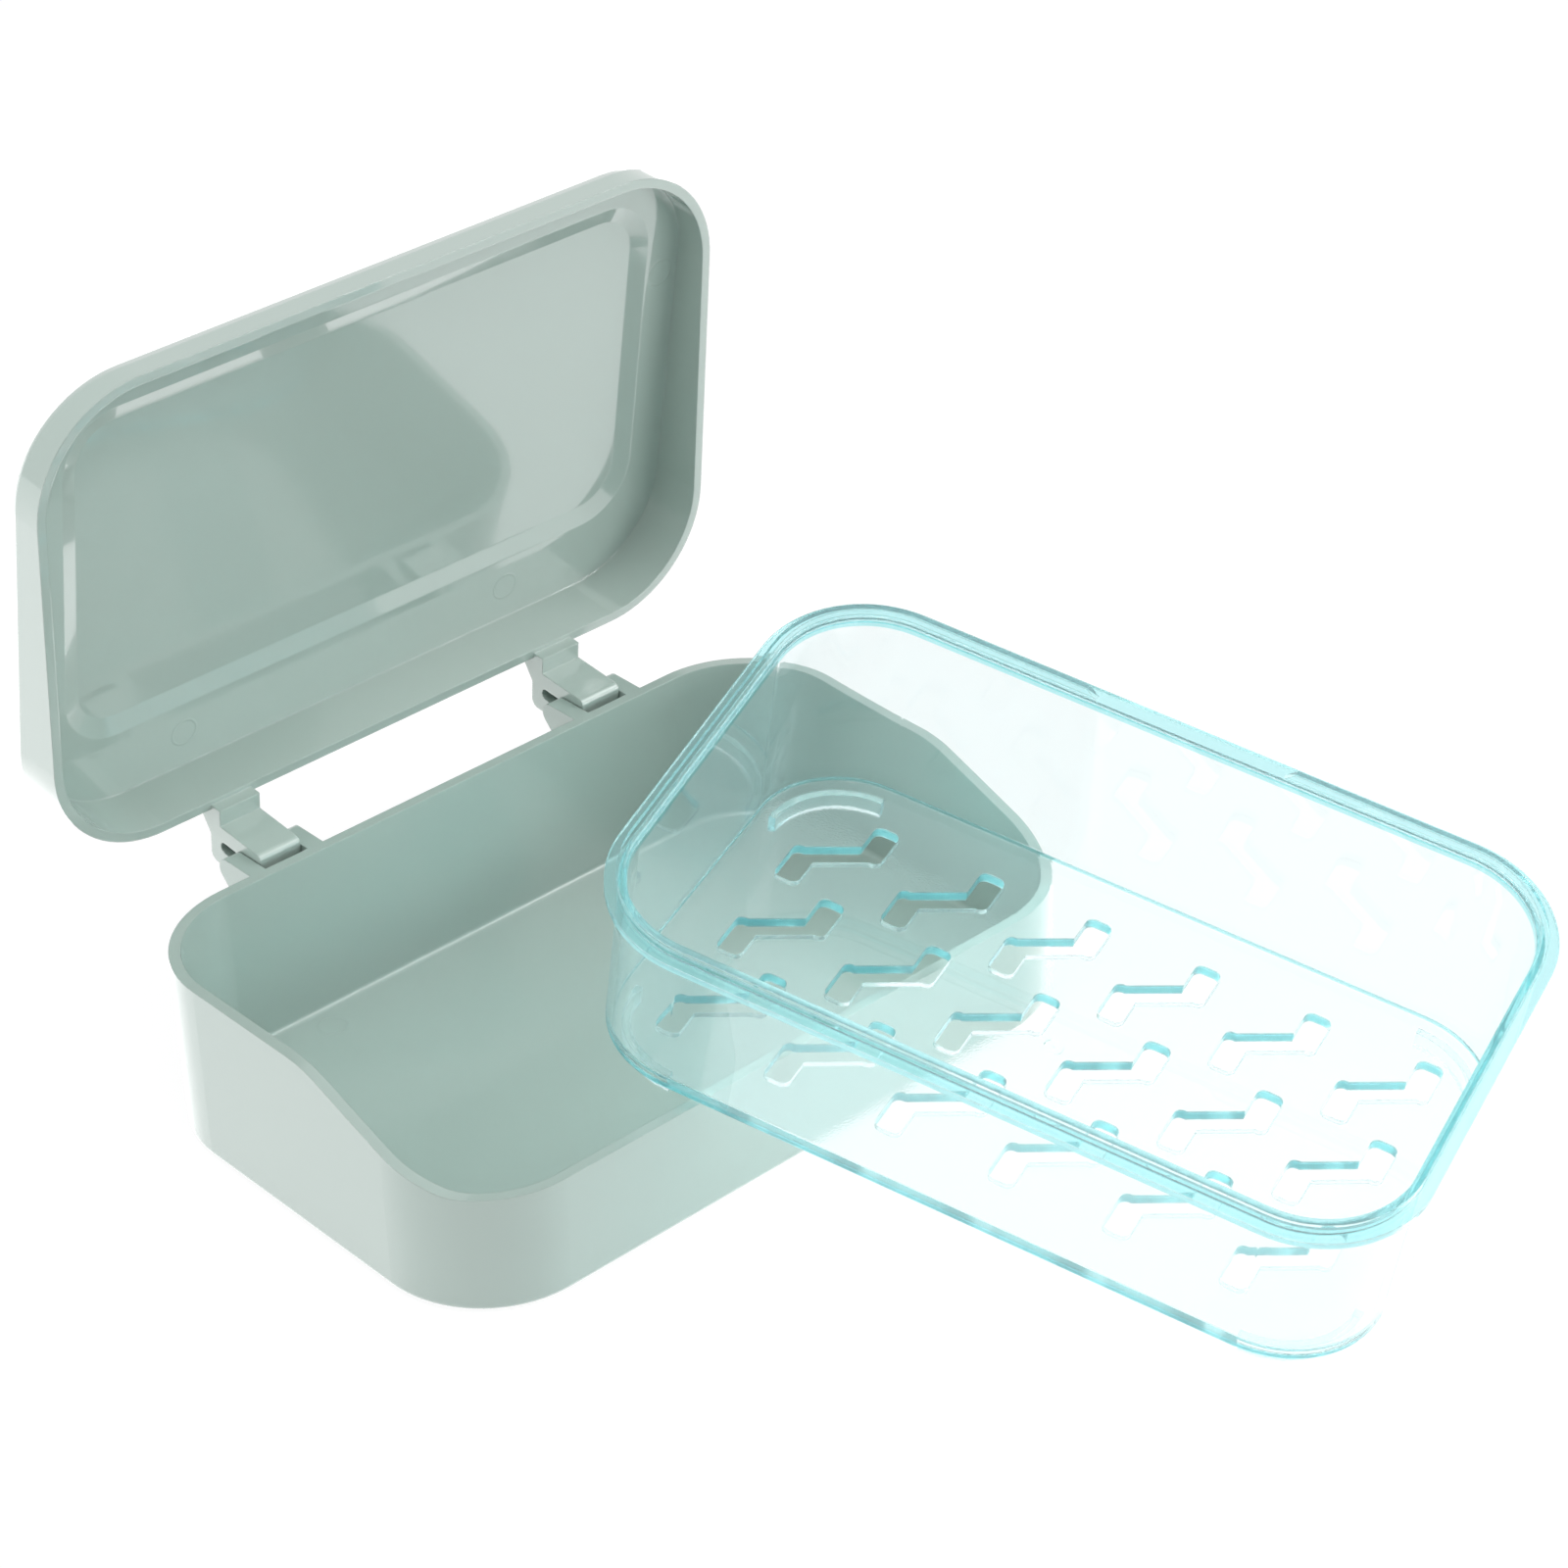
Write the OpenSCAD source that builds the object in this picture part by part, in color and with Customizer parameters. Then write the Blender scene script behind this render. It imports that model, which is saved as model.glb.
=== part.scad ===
// Travel soap container: a base with hinge pins, a lid that swings on them and a lift-out drainer tray.
// X runs along the long side, the hinge is at the back (+Y), and the base stands on Z = 0.
// The lid is modelled open. The tray lies across the front rim of the base, with one foot on the ground.

/* [Base] */
// Length of the base over its rim
base_length = 130; // [116:1:150]
// Depth of the base over its rim, front to back
base_depth = 82; // [74:1:96]
// Radius of the upright corners of the base
base_corner = 19; // [15:1:22]
// Height of the rim at the back and sides
rim_back = 31; // [29:1:36]
// Height of the rim along the front
rim_front = 20.5; // [18:0.5:23]
// Distance from the front face to where the rim starts to rise
rim_start = 5.8; // [4:0.2:8]
// Slope of the straight part of the rising rim, in degrees
rim_slope = 20; // [16:1:26]
// Radius of the hollow bend at the foot of the rise
rim_hollow = 12; // [8:1:16]
// Radius of the round bend at the top of the rise
rim_crest = 20; // [12:1:24]
// Thickness of the walls of the base
base_wall = 1.8; // [1.4:0.1:2.2]
// Thickness of the floor of the base
base_floor = 2; // [1.6:0.1:3]
// How far the walls lean in from the rim to the ground
base_lean = 0.3; // [0.1:0.1:0.8]
// Radius under the outer bottom edge
base_edge = 1.2; // [0.6:0.1:1.6]
// Radius where the floor meets the walls inside
base_fillet = 1; // [0.4:0.1:1.6]

/* [Lid] */
// How far the lid is open, in degrees
lid_open = 84.5; // [70:0.5:100]
// How far the lid stands out over the base on every side
lid_overhang = 0.3; // [0:0.1:1]
// Height of the lid at the hinge side
lid_back = 12; // [11:0.5:15]
// Height of the lid along the front
lid_front = 6; // [5:0.5:8]
// Thickness of the lid's walls and panel
lid_wall = 1.6; // [1.2:0.1:2]
// How far the walls of the lid lean in towards its panel
lid_lean = 0.3; // [0.1:0.1:0.6]
// Radius of the outer edge between panel and walls
lid_edge = 1.5; // [1:0.1:2]
// Height by which the middle of the panel is raised outwards
panel_rise = 1.1; // [0.6:0.1:1.4]
// Width of the sloping step around the raised middle
panel_step = 3; // [2:0.2:5]
// Width of the flat border at both ends of the panel
border_end = 8.4; // [7:0.2:12]
// Width of the flat border along the front of the panel
border_front = 7; // [6:0.2:10]
// Width of the flat border along the hinge side of the panel
border_back = 14.1; // [12:0.1:18]
// Corner radius of the raised middle
panel_corner = 10; // [7:0.5:14]

/* [Hinge] */
// Distance of each hinge from the middle of the container
hinge_place = 33; // [24:1:40]
// Distance from the back of the base to the hinge axis
hinge_reach = 6.2; // [6:0.1:8]
// Radius of the rounded end of each ear
ear_radius = 2; // [1.8:0.1:2.4]
// Thickness of each ear
ear_thick = 3; // [2:0.2:4]
// Height of the ears' root on the back wall
ear_depth = 12.5; // [8:0.5:15]
// Radius of the hinge pins
pin_radius = 1.1; // [0.9:0.05:1.2]
// Radial clearance between pin and hook
pin_clearance = 0.05; // [0.03:0.01:0.1]
// Width of each arm along the pin
arm_width = 7.8; // [6:0.2:10]
// Gap between an arm and each ear
arm_gap = 0.2; // [0.1:0.05:0.4]
// Height of the closed lid's rim above the hinge axis
lid_lift = 8.1; // [7.6:0.1:9]
// Length of the hook's front plate below the hinge axis, with the lid closed
plate_drop = 4.4; // [3.6:0.1:4.6]
// Length of the hook's rear jaw below the hinge axis, with the lid closed
jaw_drop = 2.2; // [1.8:0.1:3]
// Distance of the hook's front and rear faces from the hinge axis
hook_half = 3.75; // [3.4:0.05:4]
// Height of the slot above the hinge axis
slot_rise = 5.9; // [4.5:0.1:6]
// Radius at the rear top corner of the hook
hook_round = 1.5; // [1:0.1:2]
// Radius at the front bottom corner of the hook's plate
plate_round = 1; // [0.6:0.1:1.4]
// Height of the hook's roof over the rim of the lid
roof_rise = 0.4; // [0.2:0.1:0.6]
// Height of an arm's root on the lid's wall above the roof
arm_root = 3.5; // [2.5:0.5:5]
// How much narrower the slot is than the bore for the pin, on each side
snap_step = 0.15; // [0.1:0.05:0.25]

/* [Tray] */
// How far the tray's flange is inside the outline of the base, on every side
tray_inset = 0.3; // [0.1:0.1:1]
// Clearance between the middle of the tray's flange and the closed lid
tray_clearance = 0.5; // [0.1:0.1:1]
// Slope of the flange against the tray's floor, rising to the side with the gap in the lip, in degrees
tray_slope = 5.7; // [4:0.1:7]
// Thickness of the flange
flange_thick = 1.2; // [0.8:0.1:1.6]
// Width of the flat ledge around the lip
ledge_width = 1.8; // [1.4:0.1:2.4]
// Height of the lip above the ledge
lip_height = 1.8; // [1:0.1:2.4]
// Thickness of the lip
lip_thick = 1.1; // [0.8:0.1:1.4]
// Width of the small step inside the lip
lip_step = 0.4; // [0.2:0.1:0.6]
// Thickness of the tray's walls
tray_wall = 1.2; // [0.9:0.1:1.6]
// Thickness of the tray's floor
tray_floor = 1.8; // [1.4:0.1:2.2]
// How far the tray's walls lean in from the flange to the floor
tray_lean = 0.2; // [0.1:0.1:0.6]
// Radius under the outer bottom edge of the tray
tray_edge = 1; // [0.5:0.1:1.2]
// Radius where the tray's floor meets its walls inside
tray_fillet = 0.6; // [0.3:0.1:1]
// Length of the gap in the lip along the higher long side
lip_gap = 31; // [20:1:50]
// Height of the four curved feet
foot_height = 3; // [2.4:0.1:3.6]
// Thickness of the curved feet
foot_thick = 1.2; // [1:0.1:1.6]
// Distance from the tray's bottom edge in to the feet
foot_inset = 2.7; // [1.5:0.1:3]

/* [Drain slots] */
// Number of slots along the tray
slot_columns = 6; // [4:1:6]
// Number of slots across the tray
slot_rows = 3; // [2:1:3]
// Distance between slots along the tray
slot_pitch_x = 18.5; // [16:0.1:18.8]
// Distance between slots across the tray
slot_pitch_y = 19.2; // [18:0.1:19.8]
// Distance from a slot's middle to the middle of each of its two arms
slot_offset = 4.5; // [4.2:0.1:4.8]
// Width of the two arms of a slot
slot_arm = 4.2; // [3.4:0.1:4.6]
// Reach of a slot from its middle to the end of an arm
slot_reach = 9.4; // [8:0.1:9.8]
// Width of the slanting middle of a slot
slot_band = 3.6; // [2.8:0.1:4]
// Slant of the middle of a slot, in degrees
slot_slant = 33.5; // [28:0.1:38]
// Radius at the corners of a slot
slot_round = 1.3; // [0.8:0.1:1.4]

/* [Tray's place] */
// Turn of the tray about the upright axis, in degrees
tray_turn = -69.2; // [-80:0.1:-60]
// Dip of the tray's outer end, in degrees
tray_dip = 10.94; // [8:0.02:14]
// Sideways lean of the tray, in degrees
tray_roll = 5.74; // [4:0.02:8]
// Place of the tray's middle along the length of the base
tray_along = 29.06; // [20:0.01:40]
// Clearance under the tray where it lies on the rim
rest_clearance = 0.1; // [0.05:0.05:0.3]

/* [Hidden] */
$fn = 64;
margin = 10;

front_y = -base_depth / 2;
hinge_y = base_depth / 2 + hinge_reach;
hinge_z = rim_back - ear_radius;
closed_z = hinge_z + lid_lift;
lid_length = base_length + 2 * lid_overhang;
lid_depth = base_depth + 2 * lid_overhang;
lid_corner = base_corner + lid_overhang;
lid_tilt = atan((lid_back - lid_front) / lid_depth);
bore_radius = pin_radius + pin_clearance;
throat = bore_radius - snap_step;
ear_place = arm_width / 2 + arm_gap + ear_thick / 2;
tray_length = base_length - 2 * tray_inset;
tray_depth = base_depth - 2 * tray_inset;
tray_corner = base_corner - tray_inset;
ledge_z = closed_z - tray_clearance - base_floor - foot_height;
lip_face = tray_corner - ledge_width;
lip_back = lip_face - lip_thick;
wall_top = lip_back - lip_step + tray_wall;
wall_foot = wall_top - tray_lean;
tray_top = ledge_z + tray_depth / 2 * tan(tray_slope) + lip_height + margin;
flange_depth = tray_depth / cos(tray_slope);
foot_outer = wall_foot - foot_inset;

// Copies of a section set around a rounded rectangle: x runs outwards from the centres of the corners
module around(length, depth, corner) {
    for (turn = [0, 90, 180, 270]) {
        run = (turn % 180 == 0) ? depth : length;
        reach = (turn % 180 == 0) ? length : depth;
        rotate(turn) {
            translate([reach / 2 - corner, 0, 0])
                rotate([90, 0, 0])
                    linear_extrude(height = run - 2 * corner, center = true)
                        children();
            translate([reach / 2 - corner, run / 2 - corner, 0])
                rotate_extrude(angle = 90)
                    children();
        }
    }
}

// The rectangle inside the centres of the corners, from one height to another
module middle(length, depth, corner, low, high) {
    translate([corner - length / 2, corner - depth / 2, low])
        cube([length - 2 * corner, depth - 2 * corner, high - low]);
}

// A solid with the given section and a filled middle
module block(length, depth, corner, low, high) {
    around(length, depth, corner) children();
    middle(length, depth, corner, low, high);
}

// A flat rounded rectangle from true arcs
module rounded(width, height, radius) {
    square([width - 2 * radius, height], center = true);
    square([width, height - 2 * radius], center = true);
    for (x = [-1, 1], y = [-1, 1])
        translate([x * (width / 2 - radius), y * (height / 2 - radius)])
            circle(radius);
}

// Outline of the base from the corner centre outwards, with a rounded bottom edge
module base_profile() {
    foot = base_corner - base_lean;
    union() {
        polygon([[0, 0], [foot - base_edge, 0], [foot, base_edge], [base_corner, rim_back], [0, rim_back]]);
        translate([foot - base_edge, base_edge])
            circle(base_edge);
    }
}

// Hollow of the base from the corner centre outwards, with a fillet at the floor
module hollow_profile() {
    top = base_corner - base_wall;
    foot = top - base_lean;
    level = base_floor + base_fillet;
    union() {
        polygon([[0, base_floor], [foot - base_fillet, base_floor], [foot, level],
            [top, rim_back], [top, rim_back + 1], [0, rim_back + 1]]);
        translate([foot - base_fillet, level])
            circle(base_fillet);
    }
}

// Everything above the rim in front of the hinge: low at the front, then an S-shaped rise to the back
module above_rim() {
    start = front_y + rim_start;
    hollow_y = start + rim_hollow * sin(rim_slope);
    hollow_z = rim_front + rim_hollow * (1 - cos(rim_slope));
    crest_z = rim_back - rim_crest * (1 - cos(rim_slope));
    crest_y = hollow_y + (crest_z - hollow_z) / tan(rim_slope);
    end = crest_y + rim_crest * sin(rim_slope);
    over = rim_back + margin;
    rotate([90, 0, 90])
        linear_extrude(height = base_length + 2 * margin, center = true)
            difference() {
                union() {
                    polygon([[front_y - margin, rim_front], [start, rim_front], [hollow_y, hollow_z],
                        [crest_y, crest_z], [end, rim_back], [end, over], [front_y - margin, over]]);
                    translate([start, rim_front + rim_hollow])
                        circle(rim_hollow, $fn = 128);
                }
                translate([end, rim_back - rim_crest])
                    circle(rim_crest, $fn = 128);
            }
}

// Side view of one ear: a rounded end on the hinge axis, a level top and a slanting underside
module ear_side() {
    wall_y = base_depth / 2 - base_wall / 2;
    root = [wall_y, hinge_z + ear_radius - ear_depth];
    step = root - [hinge_y, hinge_z];
    span = norm(step);
    tangent = atan2(step[1], step[0]) + acos(ear_radius / span);
    union() {
        polygon([root, [hinge_y, hinge_z] + ear_radius * [cos(tangent), sin(tangent)], [hinge_y, hinge_z],
            [hinge_y, hinge_z + ear_radius], [wall_y, hinge_z + ear_radius]]);
        translate([hinge_y, hinge_z])
            circle(ear_radius);
    }
}

// Two ears and the pin between them
module hinge_mount() {
    for (side = [-1, 1])
        translate([side * ear_place, 0, 0])
            rotate([90, 0, 90])
                linear_extrude(height = ear_thick, center = true)
                    ear_side();
    translate([0, hinge_y, hinge_z])
        rotate([0, 90, 0])
            cylinder(r = pin_radius, h = 2 * ear_place, center = true);
}

module base() {
    color([0.62, 0.73, 0.69]) {
        difference() {
            block(base_length, base_depth, base_corner, 0, rim_back)
                base_profile();
            block(base_length, base_depth, base_corner, base_floor, rim_back + 1)
                hollow_profile();
            above_rim();
        }
        for (side = [-1, 1])
            translate([side * hinge_place, 0, 0])
                hinge_mount();
    }
}

// Puts children on the lid's sloping panel, a given depth below its outer face
module on_panel(depth) {
    translate([0, 0, closed_z + (lid_back + lid_front) / 2])
        rotate([lid_tilt, 0, 0])
            translate([0, 0, -depth])
                children();
}

// The walls' upright outline, inset by the wall's thickness for the hollow
module lid_walls(inset, low) {
    high = lid_back + 3;
    foot = lid_corner - inset;
    translate([0, 0, closed_z])
        block(lid_length, lid_depth, lid_corner, low, high)
            polygon([[0, low], [foot, low], [foot, 0], [foot - lid_lean * high / lid_back, high], [0, high]]);
}

// Everything under the panel's outer face, with a rounded edge that flares into the walls
module under_panel() {
    flare = 20;
    deep = lid_back + 8;
    corner = lid_corner - lid_edge / 4;
    edge_x = corner - lid_lean - lid_edge;
    bend = [edge_x + lid_edge * cos(flare), lid_edge * (sin(flare) - 1)];
    on_panel(0)
        block(lid_length, lid_depth / cos(lid_tilt), corner, -deep, 0)
            union() {
                polygon([[0, 0], [edge_x, 0], bend, bend + (deep + bend[1]) * [tan(flare), -1], [0, -deep]]);
                translate([edge_x, -lid_edge])
                    circle(lid_edge);
            }
}

// Raised middle of the panel, grown sideways for its outer face
module panel_boss(depth, grow, rise) {
    length = lid_length - 2 * border_end + 2 * grow;
    width = lid_depth - border_front - border_back + 2 * grow;
    corner = panel_corner + grow;
    on_panel(depth)
        translate([0, (border_front - border_back) / 2, 0])
            block(length, width, corner, -lid_wall / 2, rise)
                polygon([[0, -lid_wall / 2], [corner, -lid_wall / 2], [corner, 0],
                    [corner - panel_step, rise], [0, rise]]);
}

// Side view of an arm: a hook that opens downwards over the pin, and its root on the lid's back wall
module arm_side() {
    root_y = lid_depth / 2 - hinge_y;
    roof = lid_lift + roof_rise;
    difference() {
        union() {
            polygon([[-hook_half, plate_round - plate_drop], [plate_round - hook_half, -plate_drop], [0, -plate_drop],
                [0, -jaw_drop], [hook_half, -jaw_drop], [hook_half, roof - hook_round],
                [hook_half - hook_round, roof], [-hook_half, roof]]);
            translate([hook_half - hook_round, roof - hook_round])
                circle(hook_round);
            translate([plate_round - hook_half, plate_round - plate_drop])
                circle(plate_round);
            polygon([[root_y - lid_wall / 2, slot_rise], [-hook_half, slot_rise], [-throat, roof],
                [root_y, roof + arm_root], [root_y - lid_wall / 2, roof + arm_root]]);
        }
        translate([-throat, -plate_drop - 1])
            square([2 * throat, plate_drop + 1 + slot_rise - throat]);
        translate([0, slot_rise - throat])
            circle(throat);
    }
}

module arm() {
    translate([0, hinge_y, hinge_z])
        difference() {
            rotate([90, 0, 90])
                linear_extrude(height = arm_width, center = true)
                    arm_side();
            rotate([0, 90, 0])
                cylinder(r = bore_radius, h = arm_width + 2, center = true);
        }
}

// The lid as it lies when closed
module lid_closed() {
    grow = lid_wall * tan(atan(panel_rise / panel_step) / 2);
    difference() {
        union() {
            intersection() {
                lid_walls(0, 0);
                under_panel();
            }
            panel_boss(0, grow, panel_rise);
            for (side = [-1, 1])
                translate([side * hinge_place, 0, 0])
                    arm();
        }
        intersection() {
            lid_walls(lid_wall, -1);
            on_panel(lid_wall)
                translate([-lid_length, -lid_depth, -2 * lid_length])
                    cube([2 * lid_length, 2 * lid_depth, 2 * lid_length]);
        }
        panel_boss(lid_wall, 0, panel_rise);
    }
}

module lid() {
    color([0.64, 0.75, 0.71])
        translate([0, hinge_y, hinge_z])
            rotate([-lid_open, 0, 0])
                translate([0, -hinge_y, -hinge_z])
                    lid_closed();
}

// Puts children on the tray's sloping flange, with height 0 on the ledge
module on_flange() {
    translate([0, 0, ledge_z])
        rotate([tray_slope, 0, 0])
            children();
}

// Tray's outer wall from the corner centre outwards, with a rounded bottom edge
module tray_profile() {
    union() {
        polygon([[0, 0], [wall_foot - tray_edge, 0], [wall_foot, tray_edge],
            [wall_foot + tray_lean * tray_top / ledge_z, tray_top], [0, tray_top]]);
        translate([wall_foot - tray_edge, tray_edge])
            circle(tray_edge);
    }
}

// Tray's hollow from the corner centre outwards, with a fillet at the floor
module tray_hollow() {
    foot = wall_foot - tray_wall;
    level = tray_floor + tray_fillet;
    over = tray_top + 1;
    union() {
        polygon([[0, tray_floor], [foot - tray_fillet, tray_floor], [foot, level],
            [foot + tray_lean * over / ledge_z, over], [0, over]]);
        translate([foot - tray_fillet, level])
            circle(tray_fillet);
    }
}

// Flange as a flat plate on the slope
module flange() {
    on_flange()
        block(tray_length, flange_depth, tray_corner, -flange_thick, 0)
            translate([0, -flange_thick])
                square([tray_corner, flange_thick]);
}

// Lip that stands on the flange
module lip() {
    on_flange()
        around(tray_length, flange_depth, tray_corner)
            translate([lip_back, -flange_thick / 2])
                square([lip_thick, lip_height + flange_thick / 2]);
}

// Outline of one drain slot: two arms that point opposite ways, joined by a slanting middle
module slot_outline() {
    bend_y = slot_offset * tan(slot_slant);
    arm_length = slot_reach - bend_y + slot_band / 2;
    for (turn = [0, 180])
        rotate(turn)
            translate([slot_offset, slot_reach - arm_length / 2])
                rounded(slot_arm, arm_length, slot_round);
    rotate(slot_slant)
        square([2 * slot_offset / cos(slot_slant) + 1, slot_band], center = true);
}

module drain_slots() {
    for (column = [0 : slot_columns - 1], row = [0 : slot_rows - 1])
        translate([(column - (slot_columns - 1) / 2) * slot_pitch_x, (row - (slot_rows - 1) / 2) * slot_pitch_y, -1])
            linear_extrude(height = tray_floor + 2)
                slot_outline();
}

// Gap in the lip, with sloping ends
module lip_opening() {
    sunk = flange_thick / 4;
    over = lip_height + 1;
    width = ledge_width + lip_thick + lip_step + 1;
    on_flange()
        translate([0, flange_depth / 2 - width + 1, 0])
            rotate([-90, 0, 0])
                linear_extrude(height = width)
                    polygon([[sunk - lip_gap / 2, sunk], [lip_gap / 2 - sunk, sunk], [lip_gap / 2 + over, -over],
                        [-lip_gap / 2 - over, -over]]);
}

// Four curved feet, concentric with the tray's corners
module tray_feet() {
    for (x = [0, 1], y = [0, 1])
        mirror([x, 0, 0])
            mirror([0, y, 0])
                translate([tray_length / 2 - tray_corner, tray_depth / 2 - tray_corner, -foot_height])
                    rotate_extrude(angle = 90)
                        translate([foot_outer - foot_thick, 0])
                            square([foot_thick, foot_height + tray_floor / 2]);
}

// The tray in its own frame, with the underside of its floor at height 0
module tray_level() {
    difference() {
        union() {
            difference() {
                block(tray_length, tray_depth, tray_corner, 0, tray_top)
                    tray_profile();
                on_flange()
                    translate([-tray_length, -tray_depth, -flange_thick / 2])
                        cube([2 * tray_length, 2 * tray_depth, 2 * tray_top]);
            }
            flange();
        }
        block(tray_length, tray_depth, tray_corner, tray_floor, tray_top + 1)
            tray_hollow();
        drain_slots();
    }
    difference() {
        lip();
        lip_opening();
    }
    tray_feet();
}

// Directions of the tray's own axes, and its place with one foot on the ground and one edge on the front rim
function turned(p) =
    let (a = [p[0], p[1] * cos(tray_roll) - p[2] * sin(tray_roll), p[1] * sin(tray_roll) + p[2] * cos(tray_roll)],
         b = [a[0] * cos(tray_dip) + a[2] * sin(tray_dip), a[1], a[2] * cos(tray_dip) - a[0] * sin(tray_dip)])
    [b[0] * cos(tray_turn) - b[1] * sin(tray_turn), b[0] * sin(tray_turn) + b[1] * cos(tray_turn), b[2]];
along = turned([1, 0, 0]);
across = turned([0, 1, 0]);
foot_centre = turned([tray_length / 2 - tray_corner, tray_corner - tray_depth / 2, -foot_height]);
tray_z = foot_outer * norm([along[2], across[2]]) - foot_centre[2];
edge_line = turned([0, tray_corner - tray_depth / 2 - wall_foot + tray_edge, tray_edge]);
facing = [0, along[2], -along[1]] / norm([along[2], along[1]]);
tray_y = front_y - edge_line[1]
    + ((tray_edge + rest_clearance) * sign(facing[2]) - facing[2] * (tray_z + edge_line[2] - rim_front)) / facing[1];

module tray() {
    color([0.55, 0.86, 0.9, 0.6])
        translate([tray_along, tray_y, tray_z])
            rotate([tray_roll, tray_dip, tray_turn])
                tray_level();
}

base();
lid();
tray();
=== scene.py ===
import math

import bpy
from mathutils import Matrix, Vector

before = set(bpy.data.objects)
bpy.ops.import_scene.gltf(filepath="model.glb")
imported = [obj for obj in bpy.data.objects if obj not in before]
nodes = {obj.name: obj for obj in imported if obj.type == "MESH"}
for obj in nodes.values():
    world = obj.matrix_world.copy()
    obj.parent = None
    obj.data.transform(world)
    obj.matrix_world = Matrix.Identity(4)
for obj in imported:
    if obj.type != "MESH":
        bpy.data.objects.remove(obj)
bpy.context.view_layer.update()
scene = bpy.context.scene
scene.view_settings.view_transform = "Standard"
print("frame loaded:", sorted(nodes))


# camera, fitted to the rims and the tray in the photograph
cameraValues = {
    "place": (-0.354036, -0.431992, 0.402126),
    "right": (0.734156, -0.678657, -0.02096),
    "down": (-0.376947, -0.381709, -0.843925),
    "forward": (0.564736, 0.627473, -0.536052),
    "sensor": 36,
    "lens": 99.708,
    "clip": (0.01, 20),
}


def makeCamera(values):
    camera = bpy.data.cameras.new("camera")
    camera.sensor_width = values["sensor"]
    camera.lens = values["lens"]
    camera.clip_start, camera.clip_end = values["clip"]
    holder = bpy.data.objects.new("camera", camera)
    right, down, forward = (Vector(values[k]).normalized() for k in ("right", "down", "forward"))
    turn = Matrix((right, -down, -forward)).transposed()
    holder.matrix_world = Matrix.Translation(values["place"]) @ turn.to_4x4()
    scene.collection.objects.link(holder)
    scene.camera = holder


makeCamera(cameraValues)
print("camera set")


# small helpers for node trees: inputs are named with underscores for spaces, or _0, _1 by place
def inputOf(node, name):
    if name[0] == "_":
        return node.inputs[int(name[1:])]
    return next(s for s in node.inputs if s.name == name.replace("_", " ") and s.enabled)


def addNode(tree, kind, settings=None, **inputs):
    node = tree.nodes.new(kind)
    for name, value in (settings or {}).items():
        setattr(node, name, value)
    for name, value in inputs.items():
        if isinstance(value, bpy.types.NodeSocket):
            tree.links.new(value, inputOf(node, name))
        else:
            inputOf(node, name).default_value = value
    return node


def math2(tree, operation, first, second):
    return addNode(tree, "ShaderNodeMath", {"operation": operation}, _0=first, _1=second).outputs[0]


def multiplyAdd(tree, first, second, third):
    settings = {"operation": "MULTIPLY_ADD"}
    return addNode(tree, "ShaderNodeMath", settings, _0=first, _1=second, _2=third).outputs[0]


def mapRange(tree, value, **limits):
    return addNode(tree, "ShaderNodeMapRange", Value=value, **limits).outputs["Result"]


def mixColour(tree, share, first, second):
    settings = {"data_type": "RGBA"}
    return addNode(tree, "ShaderNodeMix", settings, Factor=share, _6=first, _7=second).outputs[2]


# coordinates that lie with a piece: its own origin and axes, turned by degrees
def inFrame(tree, vector, place, turn):
    return addNode(tree, "ShaderNodeMapping", {"vector_type": "TEXTURE"}, Vector=vector, Location=place,
                   Rotation=tuple(math.radians(angle) for angle in turn)).outputs["Vector"]


def objectCoordinates(tree):
    return addNode(tree, "ShaderNodeTexCoord").outputs["Object"]


def newGroup(name, inputs, outputs):
    group = bpy.data.node_groups.new(name, "ShaderNodeTree")
    for label, kind, value in inputs:
        made = group.interface.new_socket(label, in_out="INPUT", socket_type=kind)
        made.default_value = value
    for label, kind in outputs:
        group.interface.new_socket(label, in_out="OUTPUT", socket_type=kind)
    return group, group.nodes.new("NodeGroupInput"), group.nodes.new("NodeGroupOutput")


def useGroup(tree, group, **inputs):
    return addNode(tree, "ShaderNodeGroup", {"node_tree": group}, **inputs)


def newMaterial(name):
    material = bpy.data.materials.new(name)
    material.use_nodes = True
    tree = material.node_tree
    return material, tree, tree.nodes["Principled BSDF"], tree.nodes["Material Output"]


def dress(node, material):
    nodes[node].data.materials.clear()
    nodes[node].data.materials.append(material)


# moulded skin: faint flow clouds in the colour, worn and clean gloss, very fine orange peel
skinValues = {
    "cloudDetail": 3.0, "cloudRoughness": 0.55, "cloudRange": (0.35, 0.65),
    "smearScale": 60.0, "smearDetail": 4.0, "smearRoughness": 0.6, "smearMiddle": 0.5,
    "grainDetail": 2.0,
}


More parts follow.
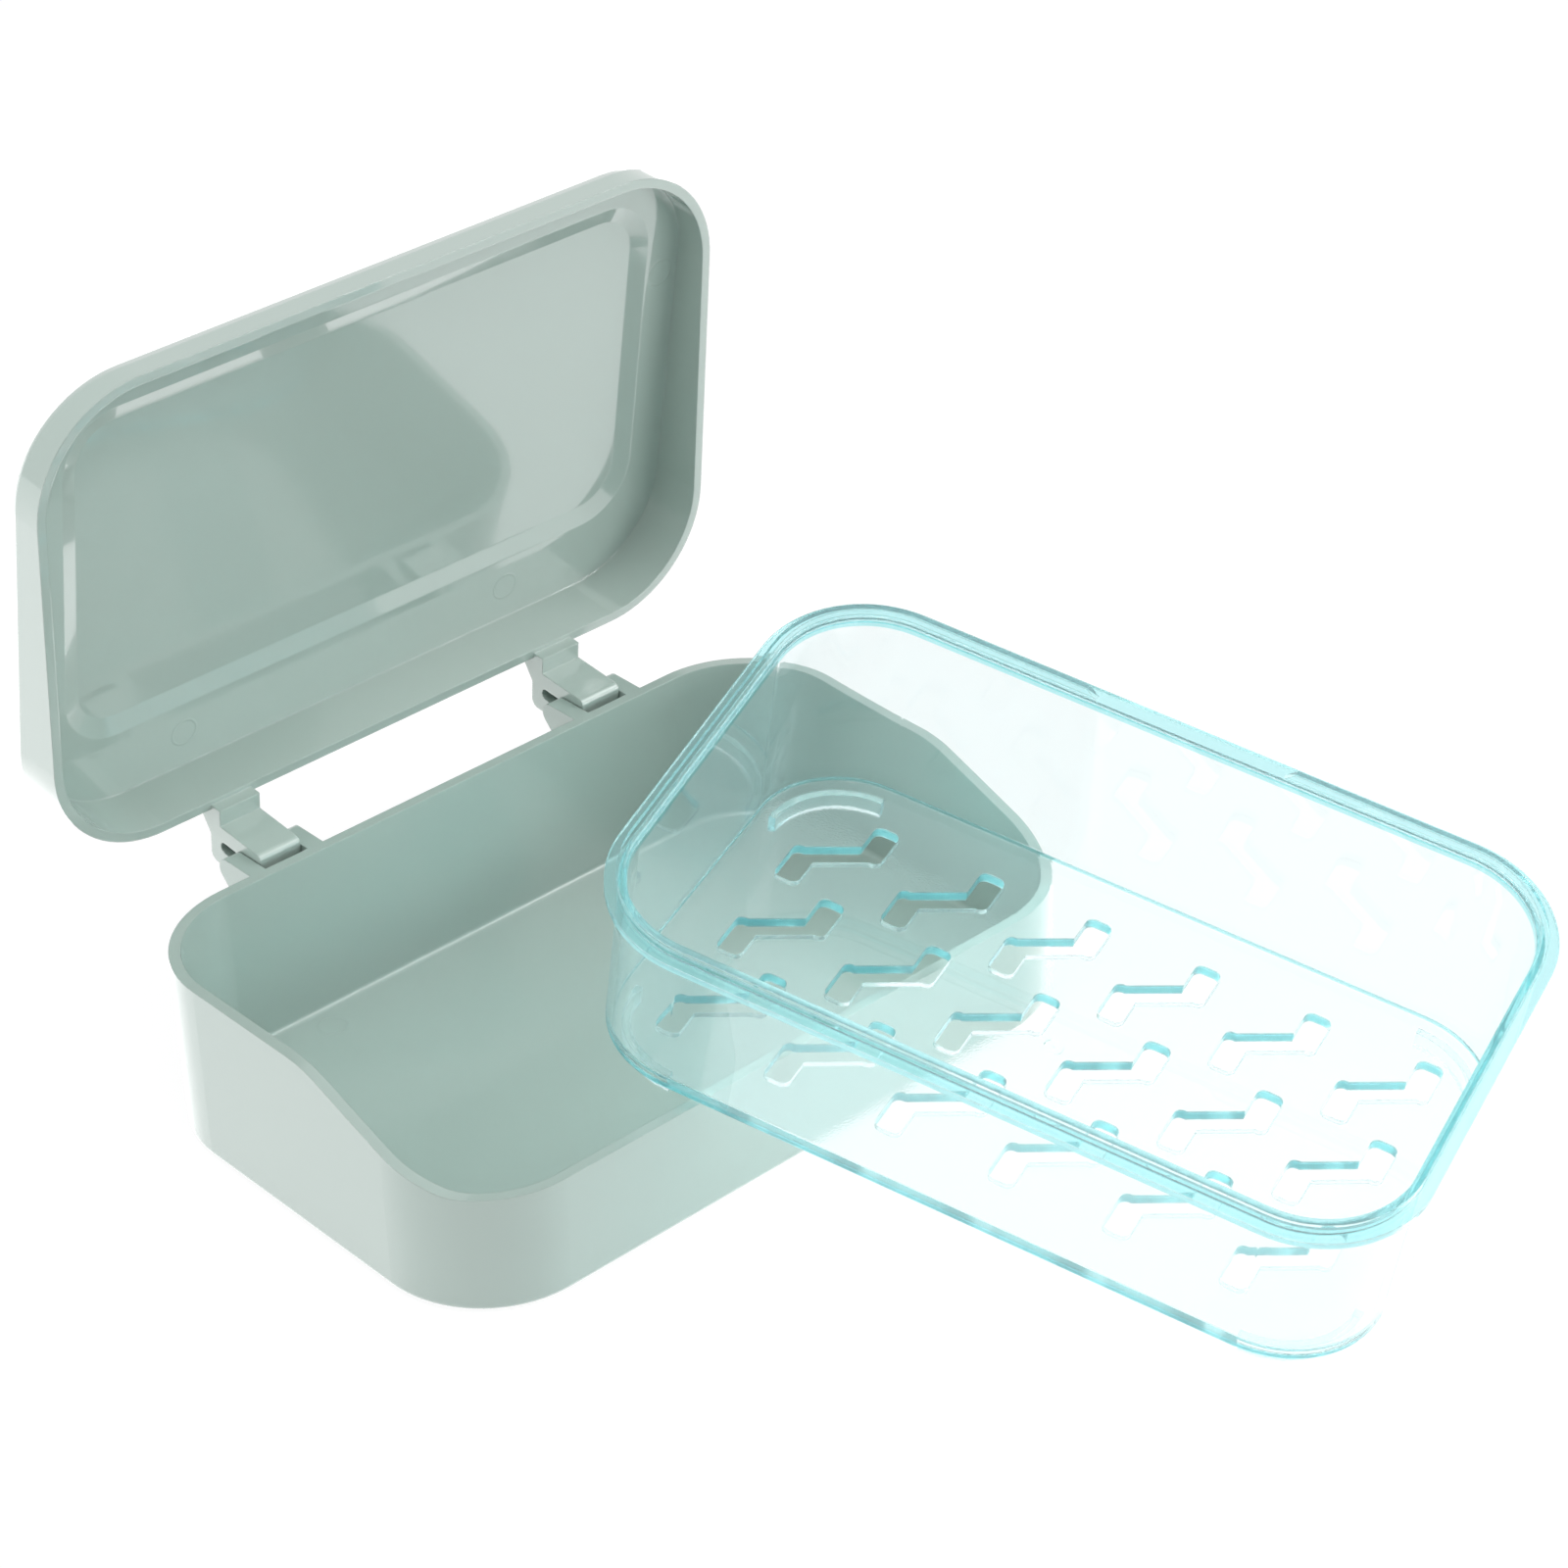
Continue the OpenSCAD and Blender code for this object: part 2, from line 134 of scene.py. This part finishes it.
def makeMouldedSkin(values):
    group, given, out = newGroup(
        "moulded skin",
        [("Colour", "NodeSocketColor", (0.5, 0.5, 0.5, 1)),
         ("Cloud Colour", "NodeSocketColor", (0.5, 0.5, 0.5, 1)),
         ("Cloud Scale", "NodeSocketFloat", 20.0), ("Gloss", "NodeSocketFloat", 0.2),
         ("Gloss Change", "NodeSocketFloat", 0.05), ("Grain Scale", "NodeSocketFloat", 900.0)],
        [("Colour", "NodeSocketColor"), ("Roughness", "NodeSocketFloat"), ("Height", "NodeSocketFloat")])
    place = objectCoordinates(group)
    cloud = addNode(group, "ShaderNodeTexNoise", Vector=place, Scale=given.outputs["Cloud Scale"],
                    Detail=values["cloudDetail"], Roughness=values["cloudRoughness"])
    low, high = values["cloudRange"]
    share = mapRange(group, cloud.outputs["Fac"], From_Min=low, From_Max=high)
    colour = mixColour(group, share, given.outputs["Colour"], given.outputs["Cloud Colour"])
    group.links.new(colour, out.inputs["Colour"])
    smear = addNode(group, "ShaderNodeTexNoise", Vector=place, Scale=values["smearScale"],
                    Detail=values["smearDetail"], Roughness=values["smearRoughness"])
    offset = math2(group, "SUBTRACT", smear.outputs["Fac"], values["smearMiddle"])
    gloss = multiplyAdd(group, offset, given.outputs["Gloss Change"], given.outputs["Gloss"])
    group.links.new(gloss, out.inputs["Roughness"])
    grain = addNode(group, "ShaderNodeTexNoise", Vector=place, Scale=given.outputs["Grain Scale"],
                    Detail=values["grainDetail"])
    group.links.new(grain.outputs["Fac"], out.inputs["Height"])
    return group


# a soft-edged band of heights: 1 between low and high
def makeBand():
    group, given, out = newGroup(
        "height band",
        [("Vector", "NodeSocketVector", (0, 0, 0)), ("Low", "NodeSocketFloat", 0.0),
         ("High", "NodeSocketFloat", 0.001), ("Soft", "NodeSocketFloat", 0.0001)],
        [("Band", "NodeSocketFloat")])
    height = addNode(group, "ShaderNodeSeparateXYZ", Vector=given.outputs["Vector"]).outputs["Z"]
    lowEnd = math2(group, "SUBTRACT", given.outputs["Low"], given.outputs["Soft"])
    highEnd = math2(group, "ADD", given.outputs["High"], given.outputs["Soft"])
    rise = mapRange(group, height, From_Min=lowEnd, From_Max=given.outputs["Low"])
    fall = mapRange(group, height, From_Min=highEnd, From_Max=given.outputs["High"])
    group.links.new(math2(group, "MULTIPLY", rise, fall), out.inputs["Band"])
    return group


# a round mark left by the mould on the face at its centre's height: a fine raised ring, and a dot if asked
def makeMark(band, reach):
    group, given, out = newGroup(
        "mould mark",
        [("Vector", "NodeSocketVector", (0, 0, 0)), ("Centre", "NodeSocketVector", (0, 0, 0)),
         ("Radius", "NodeSocketFloat", 0.002), ("Ridge", "NodeSocketFloat", 0.0002),
         ("Dot", "NodeSocketFloat", 0.0)],
        [("Height", "NodeSocketFloat")])
    smooth = {"interpolation_type": "SMOOTHSTEP"}
    away = addNode(group, "ShaderNodeVectorMath", {"operation": "DISTANCE"}, _0=given.outputs["Vector"],
                   _1=given.outputs["Centre"]).outputs["Value"]
    offset = math2(group, "SUBTRACT", away, given.outputs["Radius"])
    size = math2(group, "ABSOLUTE", offset, 0.0)
    ring, dot = (
        addNode(group, "ShaderNodeMapRange", smooth, Value=distance, From_Max=given.outputs["Ridge"],
                To_Min=1.0, To_Max=0.0).outputs["Result"]
        for distance in (size, away))
    dotted = multiplyAdd(group, dot, given.outputs["Dot"], ring)
    level = addNode(group, "ShaderNodeSeparateXYZ", Vector=given.outputs["Centre"]).outputs["Z"]
    low = math2(group, "SUBTRACT", level, reach)
    high = math2(group, "ADD", level, reach)
    face = useGroup(group, band, Vector=given.outputs["Vector"], Low=low, High=high, Soft=reach)
    group.links.new(math2(group, "MULTIPLY", dotted, face.outputs["Band"]), out.inputs["Height"])
    return group


mouldedSkin = makeMouldedSkin(skinValues)
heightBand = makeBand()
mouldMark = makeMark(heightBand, reach=0.0002)


# base and lid: opaque sage-green moulding, with finer gloss on the lid and marks from the mould
sageValues = {
    "base": {
        "colour": (0.366, 0.462, 0.424, 1), "cloud": (0.376, 0.472, 0.434, 1), "cloudScale": 14.0,
        "gloss": 0.35, "change": 0.06, "grain": 700.0, "grainDepth": 0.000012,
        "ior": 1.5, "coat": 1.0, "coatGloss": 0.10, "coatIor": 1.5, "coatEdge": 0.00028,
        "place": (0.0, 0.0, 0.0), "turn": (0.0, 0.0, 0.0),
        "edge": 0.00028, "fold": 0.00028, "foldHeights": (-0.001, 0.001), "foldSoft": 0.001,
        "marks": ((-0.0320, 0.0341, 0.0020),),
        "markRadius": 0.0023, "markRidge": 0.00035, "markHeight": 0.00006,
    },
    "lid": {
        # painted light: the lid's colour and cloud are the base's sage made lighter, so the whole lid reads
        # as more brightly lit
        "colour": (0.412, 0.508, 0.467, 1), "cloud": (0.418, 0.514, 0.473, 1), "cloudScale": 14.0,
        "gloss": 0.10, "change": 0.04, "grain": 500.0, "grainDepth": 0.000004,
        "ior": 1.5, "coat": 1.0, "coatGloss": 0.03, "coatIor": 1.5, "coatEdge": 0.0004,
        "place": (0.0, 0.05970, 0.07762), "turn": (-80.345, 0.0, 0.0),
        "edge": 0.00028, "fold": 0.0005, "foldHeights": (-0.0019, 0.0005), "foldSoft": 0.001,
        "marks": ((0.0600, -0.0181, -0.0016), (-0.0345, 0.0329, -0.0016), (0.0309, 0.0329, -0.0016)),
        "markRadius": 0.0023, "markRidge": 0.00035, "markHeight": 0.00006,
    },
}
bevelSamples = {"samples": 4}


def makeSage(name, values):
    material, tree, shader, _ = newMaterial(name)
    skin = useGroup(tree, mouldedSkin, Colour=values["colour"], Cloud_Colour=values["cloud"],
                    Cloud_Scale=values["cloudScale"], Gloss=values["gloss"], Gloss_Change=values["change"],
                    Grain_Scale=values["grain"])
    tree.links.new(skin.outputs["Colour"], shader.inputs["Base Color"])
    tree.links.new(skin.outputs["Roughness"], shader.inputs["Roughness"])
    own = inFrame(tree, objectCoordinates(tree), values["place"], values["turn"])
    low, high = values["foldHeights"]
    panel = useGroup(tree, heightBand, Vector=own, Low=low, High=high, Soft=values["foldSoft"])
    rounding = mapRange(tree, panel.outputs["Band"], To_Min=values["edge"], To_Max=values["fold"])
    edge = addNode(tree, "ShaderNodeBevel", bevelSamples, Radius=rounding)
    height = math2(tree, "MULTIPLY", skin.outputs["Height"], values["grainDepth"])
    for centre in values["marks"]:
        mark = useGroup(tree, mouldMark, Vector=own, Centre=centre, Radius=values["markRadius"],
                        Ridge=values["markRidge"], Dot=0.0)
        height = multiplyAdd(tree, mark.outputs["Height"], values["markHeight"], height)
    bump = addNode(tree, "ShaderNodeBump", Strength=1.0, Distance=1.0, Height=height,
                   Normal=edge.outputs["Normal"])
    tree.links.new(bump.outputs["Normal"], shader.inputs["Normal"])
    shader.inputs["IOR"].default_value = values["ior"]
    shader.inputs["Coat Weight"].default_value = values["coat"]
    shader.inputs["Coat Roughness"].default_value = values["coatGloss"]
    shader.inputs["Coat IOR"].default_value = values["coatIor"]
    coatEdge = addNode(tree, "ShaderNodeBevel", bevelSamples, Radius=values["coatEdge"])
    tree.links.new(coatEdge.outputs["Normal"], shader.inputs["Coat Normal"])
    return material


dress("base", makeSage("sage plastic", sageValues["base"]))
dress("lid", makeSage("lid plastic", sageValues["lid"]))
print("base and lid dressed")


# tray: clear plastic, tinted through its depth and more at its edges, with a blasted underside to its floor
trayValues = {
    "tint": (0.06, 0.80, 0.83, 1), "depth": 28.0, "ior": 1.49, "edge": 0.00022,
    "place": (0.02906, -0.0648505, 0.0167484), "turn": (5.74, 10.94, -69.2),
    "underside": (-0.0003, 0.0003), "undersideSoft": 0.0002, "frost": 0.11, "shine": 0.0,
    "slotRim": (0.0014, 0.0017), "slotSides": (0.0003, 0.0015), "bandSoft": 0.0001,
    "grainScale": 2600.0, "grainDetail": 2.0, "grainDepth": 0.00003, "rimGrain": 0.00012,
    "gate": (0.0, 0.0, 0.0018), "gateRadius": 0.0015, "gateRidge": 0.0004, "gateHeight": 0.0001,
    "flangeAt": (0.0, 0.0, 0.0316), "slope": (5.7, 0.0, 0.0), "flangeHeights": (-0.0013, -0.00025),
    "clear": (1, 1, 1, 1), "edgeTint": (0.28, 0.76, 0.80, 1), "shade": (0.93, 0.985, 0.985, 1),
    "haze": 0.16, "hazeSpread": 0.9, "hazeTint": (0.7, 0.98, 1.0, 1),
}


def bandOf(tree, vector, heights, soft):
    low, high = heights
    return useGroup(tree, heightBand, Vector=vector, Low=low, High=high, Soft=soft).outputs["Band"]


# grain on the blasted underside and on the slots' rims, with the gate mark in the middle of the floor
def trayHeight(tree, own, underside, values):
    slotRim = bandOf(tree, own, values["slotRim"], values["bandSoft"])
    grain = addNode(tree, "ShaderNodeTexNoise", Vector=own, Scale=values["grainScale"],
                    Detail=values["grainDetail"])
    fine = math2(tree, "MULTIPLY", underside, values["grainDepth"])
    coarse = multiplyAdd(tree, slotRim, values["rimGrain"], fine)
    rugged = math2(tree, "MULTIPLY", grain.outputs["Fac"], coarse)
    mark = useGroup(tree, mouldMark, Vector=own, Centre=values["gate"], Radius=values["gateRadius"],
                    Ridge=values["gateRidge"], Dot=1.0)
    return multiplyAdd(tree, mark.outputs["Height"], values["gateHeight"], rugged)


# stronger colour where light runs along the plate: the slots' sides, the floor's edge and the flange's edge
def trayColour(tree, own, values):
    slotSides = bandOf(tree, own, values["slotSides"], values["bandSoft"])
    onFlange = inFrame(tree, own, values["flangeAt"], values["slope"])
    brim = bandOf(tree, onFlange, values["flangeHeights"], values["bandSoft"])
    return mixColour(tree, math2(tree, "MAXIMUM", slotSides, brim), values["clear"], values["edgeTint"])


def makeTray(values):
    material, tree, shader, out = newMaterial("clear plastic")
    shader.inputs["Transmission Weight"].default_value = 1
    shader.inputs["IOR"].default_value = values["ior"]
    shader.inputs["Sheen Weight"].default_value = values["haze"]
    shader.inputs["Sheen Roughness"].default_value = values["hazeSpread"]
    shader.inputs["Sheen Tint"].default_value = values["hazeTint"]
    tint = addNode(tree, "ShaderNodeVolumeAbsorption", Color=values["tint"], Density=values["depth"])
    tree.links.new(tint.outputs["Volume"], out.inputs["Volume"])
    own = inFrame(tree, objectCoordinates(tree), values["place"], values["turn"])
    underside = bandOf(tree, own, values["underside"], values["undersideSoft"])
    rough = mapRange(tree, underside, To_Min=values["shine"], To_Max=values["frost"])
    tree.links.new(rough, shader.inputs["Roughness"])
    height = trayHeight(tree, own, underside, values)
    edge = addNode(tree, "ShaderNodeBevel", bevelSamples, Radius=values["edge"])
    bump = addNode(tree, "ShaderNodeBump", Strength=1.0, Distance=1.0, Height=height,
                   Normal=edge.outputs["Normal"])
    tree.links.new(bump.outputs["Normal"], shader.inputs["Normal"])
    tree.links.new(trayColour(tree, own, values), shader.inputs["Base Color"])
    path = addNode(tree, "ShaderNodeLightPath")
    through = addNode(tree, "ShaderNodeBsdfTransparent", Color=values["shade"])
    mix = addNode(tree, "ShaderNodeMixShader", _0=path.outputs["Is Shadow Ray"], _1=shader.outputs["BSDF"],
                  _2=through.outputs["BSDF"])
    tree.links.new(mix.outputs["Shader"], out.inputs["Surface"])
    return material


dress("tray", makeTray(trayValues))
print("tray dressed")


# floor and surroundings: both look white to the camera, and light the object less than they look
stageValues = {
    "half": 2.0, "drop": -0.0002, "colour": (0.8, 0.8, 0.8, 1), "roughness": 0.9, "white": (1, 1, 1, 1),
    "floorGlow": 1.09, "glowShare": 0.84, "mirrorGlow": 1.9, "worldLight": 0.40, "worldSeen": 1.0,
}


# 1 for rays that come from the camera, a mirror or a clear solid
def seenDirectly(tree, path):
    seen = math2(tree, "MAXIMUM", path.outputs["Is Camera Ray"], path.outputs["Is Glossy Ray"])
    return math2(tree, "MAXIMUM", seen, path.outputs["Is Transmission Ray"])


def makeFloor(values):
    mesh = bpy.data.meshes.new("floor")
    half, drop = values["half"], values["drop"]
    corners = [(x * half, y * half, drop) for x, y in ((-1, -1), (1, -1), (1, 1), (-1, 1))]
    mesh.from_pydata(corners, [], [(0, 1, 2, 3)])
    floor = bpy.data.objects.new("floor", mesh)
    scene.collection.objects.link(floor)
    material, tree, shader, out = newMaterial("pale floor")
    shader.inputs["Base Color"].default_value = values["colour"]
    shader.inputs["Roughness"].default_value = values["roughness"]
    shader.inputs["Specular IOR Level"].default_value = 0.0
    path = addNode(tree, "ShaderNodeLightPath")
    share = math2(tree, "MULTIPLY", seenDirectly(tree, path), values["glowShare"])
    mirrored = math2(tree, "SUBTRACT", path.outputs["Is Glossy Ray"], path.outputs["Is Transmission Ray"])
    level = mapRange(tree, mirrored, To_Min=values["floorGlow"], To_Max=values["mirrorGlow"])
    shine = addNode(tree, "ShaderNodeEmission", Color=values["white"], Strength=level)
    both = addNode(tree, "ShaderNodeMixShader", _0=share, _1=shader.outputs["BSDF"],
                   _2=shine.outputs["Emission"])
    tree.links.new(both.outputs["Shader"], out.inputs["Surface"])
    mesh.materials.append(material)


def makeWorld(values):
    world = bpy.data.worlds.new("studio")
    scene.world = world
    world.use_nodes = True
    tree = world.node_tree
    path = addNode(tree, "ShaderNodeLightPath")
    seen = seenDirectly(tree, path)
    level = mapRange(tree, seen, To_Min=values["worldLight"], To_Max=values["worldSeen"])
    tree.nodes["Background"].inputs["Color"].default_value = values["white"]
    tree.links.new(level, tree.nodes["Background"].inputs["Strength"])


lampValues = [
    {"name": "softbox right", "place": (0.60, -0.50, 0.70), "aim": (0, 0, 0.03),
     "size": (0.5, 0.5), "power": 3.0},
    {"name": "softbox above", "place": (-0.15, -0.10, 1.0), "aim": (0, 0, 0.03),
     "size": (0.7, 0.7), "power": 4.0},
    {"name": "softbox left", "place": (-1.05, 0.30, 0.24), "aim": (0, 0, 0.05),
     "size": (0.7, 0.45), "power": 3.9},
    {"name": "strip front", "place": (0.55, -0.90, 0.11), "aim": (0, 0, 0.05),
     "size": (0.5, 0.14), "power": 2.2},
]


def makeLamp(values):
    lamp = bpy.data.lights.new(values["name"], "AREA")
    lamp.shape = "RECTANGLE"
    lamp.size, lamp.size_y = values["size"]
    lamp.energy = values["power"]
    holder = bpy.data.objects.new(values["name"], lamp)
    holder.location = values["place"]
    holder.rotation_mode = "QUATERNION"
    holder.rotation_quaternion = (Vector(values["aim"]) - Vector(values["place"])).to_track_quat("-Z", "Y")
    scene.collection.objects.link(holder)


makeFloor(stageValues)
makeWorld(stageValues)
for values in lampValues:
    makeLamp(values)
print("stage and lamps set")


# enough bounces for light to cross the tray's walls, lip and feet
bounceValues = {"max_bounces": 16, "transmission_bounces": 16, "glossy_bounces": 8,
                "transparent_max_bounces": 12}
for name, value in bounceValues.items():
    setattr(scene.cycles, name, value)
